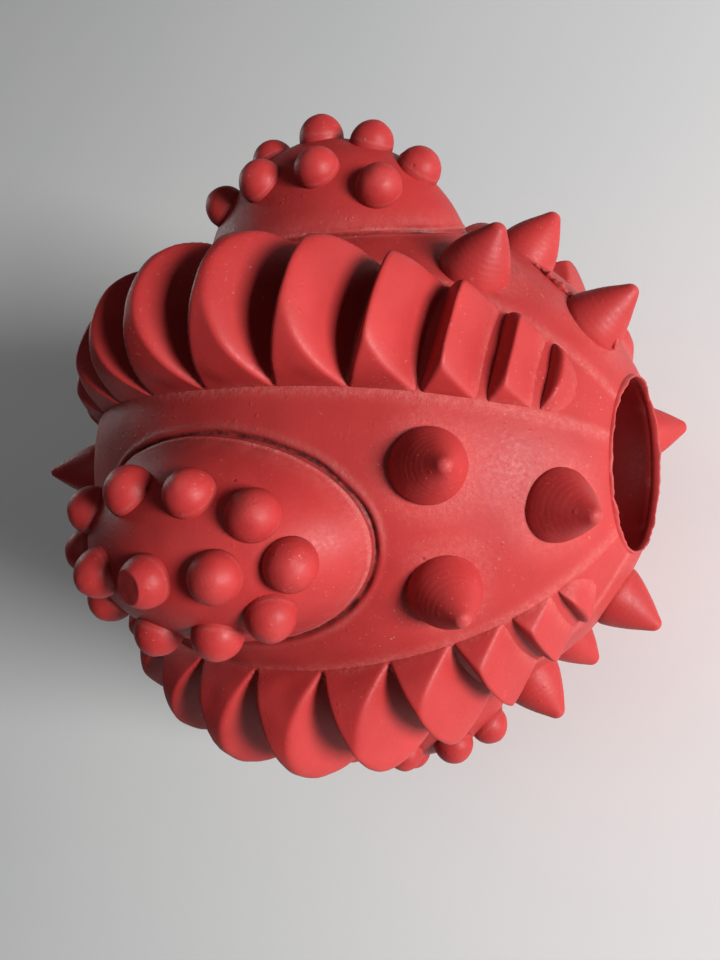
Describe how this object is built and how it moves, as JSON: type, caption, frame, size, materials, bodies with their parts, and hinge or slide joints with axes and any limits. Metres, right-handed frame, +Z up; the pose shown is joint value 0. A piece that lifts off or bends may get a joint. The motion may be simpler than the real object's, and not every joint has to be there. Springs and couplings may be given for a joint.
{
  "type": "rubber ball",
  "caption": "Hollow moulded rubber ball with an open round mouth, toothed ribs, studded oval pads and short blunt spikes.",
  "frame": {"origin": "centre of the ball on its long axis, halfway between its two ends", "axes": "+X along the long axis and out of the open mouth, +Z up as the ball lies on the ground, +Y across it"},
  "size_m": [0.0661, 0.0698, 0.0698],
  "materials": {
    "red_rubber": "satin"
  },
  "bodies": {
    "root": {"body_shell": "red_rubber", "mouth_lip": "red_rubber", "rib_1": "red_rubber", "rib_2": "red_rubber", "rib_3": "red_rubber", "rib_4": "red_rubber", "pad_1": "red_rubber", "pad_2": "red_rubber", "pad_3": "red_rubber", "pad_4": "red_rubber", "pad_1_nubs": "red_rubber", "pad_2_nubs": "red_rubber", "pad_3_nubs": "red_rubber", "pad_4_nubs": "red_rubber", "mouth_spike_1": "red_rubber", "mouth_spike_2": "red_rubber", "mouth_spike_3": "red_rubber", "mouth_spike_4": "red_rubber", "side_spike_1_left": "red_rubber", "side_spike_1_right": "red_rubber", "side_spike_2_left": "red_rubber", "side_spike_2_right": "red_rubber", "side_spike_3_left": "red_rubber", "side_spike_3_right": "red_rubber", "side_spike_4_left": "red_rubber", "side_spike_4_right": "red_rubber", "end_spike_1_left": "red_rubber", "end_spike_1_right": "red_rubber", "end_spike_2_left": "red_rubber", "end_spike_2_right": "red_rubber", "end_spike_3_left": "red_rubber", "end_spike_3_right": "red_rubber", "end_spike_4_left": "red_rubber", "end_spike_4_right": "red_rubber"}
  },
  "joints": []
}
